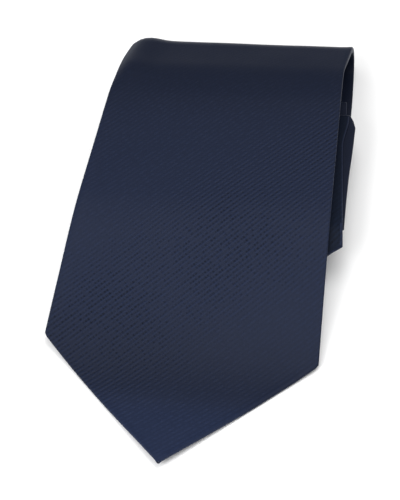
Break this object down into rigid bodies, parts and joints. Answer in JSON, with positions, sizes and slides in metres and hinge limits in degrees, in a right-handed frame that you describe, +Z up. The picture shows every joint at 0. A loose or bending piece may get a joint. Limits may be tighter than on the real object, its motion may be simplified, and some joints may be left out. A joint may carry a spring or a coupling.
{
  "type": "necktie",
  "caption": "Silk necktie folded flat into a bundle, with its wide pointed blade on top and the tail's point showing beside it; the blade lifts and opens back.",
  "frame": {"origin": "middle of the underside of the folded bundle, on the surface it lies on", "axes": "+Y towards the fold at the back, -Y towards the wide blade's point, +Z up"},
  "size_m": [0.0959, 0.1728, 0.0199],
  "materials": {
    "silk_shell": "satin twill",
    "tipping_satin": "satin",
    "wool_interlining": "felted",
    "silk_thread": "matte",
    "label_ribbon": "satin"
  },
  "bodies": {
    "bundle": {"rear_blade_shell": "silk_shell", "rear_blade_interlining": "wool_interlining", "blade_neck_seam": "silk_thread", "neck_shell": "silk_shell", "neck_interlining": "wool_interlining", "neck_tail_seam": "silk_thread", "folded_tail_shell": "silk_shell", "folded_tail_interlining": "wool_interlining"},
    "top_fold": {"top_fold_shell": "silk_shell", "top_fold_interlining": "wool_interlining"},
    "front_blade": {"front_blade_shell": "silk_shell", "front_blade_interlining": "wool_interlining", "front_blade_tipping": "tipping_satin", "front_slip_stitch": "silk_thread", "front_bar_tack": "silk_thread", "maker_label": "label_ribbon", "keeper_loop": "silk_shell", "keeper_stitches": "silk_thread", "care_label": "label_ribbon"},
    "tail": {"tail_blade_shell": "silk_shell", "tail_blade_interlining": "wool_interlining", "tail_tipping": "tipping_satin", "tail_slip_stitch": "silk_thread", "tail_bar_tack": "silk_thread"}
  },
  "joints": [
    {"name": "fold_opening", "type": "hinge", "parent": "bundle", "child": "top_fold", "pos_m": [0, 0.06792, 0.006], "axis": [-1, 0, 0], "range_deg": [0, 90]},
    {"name": "blade_lift", "type": "hinge", "parent": "top_fold", "child": "front_blade", "pos_m": [0, 0.048, 0.01865], "axis": [-1, 0, 0], "range_deg": [0, 100]},
    {"name": "tail_lift", "type": "hinge", "parent": "bundle", "child": "tail", "pos_m": [0, 0.032, 0.01512], "axis": [-1, 0, 0], "range_deg": [0, 50]}
  ],
  "couplings": [
    {"joint": "tail_lift", "follows": "blade_lift", "ratio": 0.5}
  ]
}
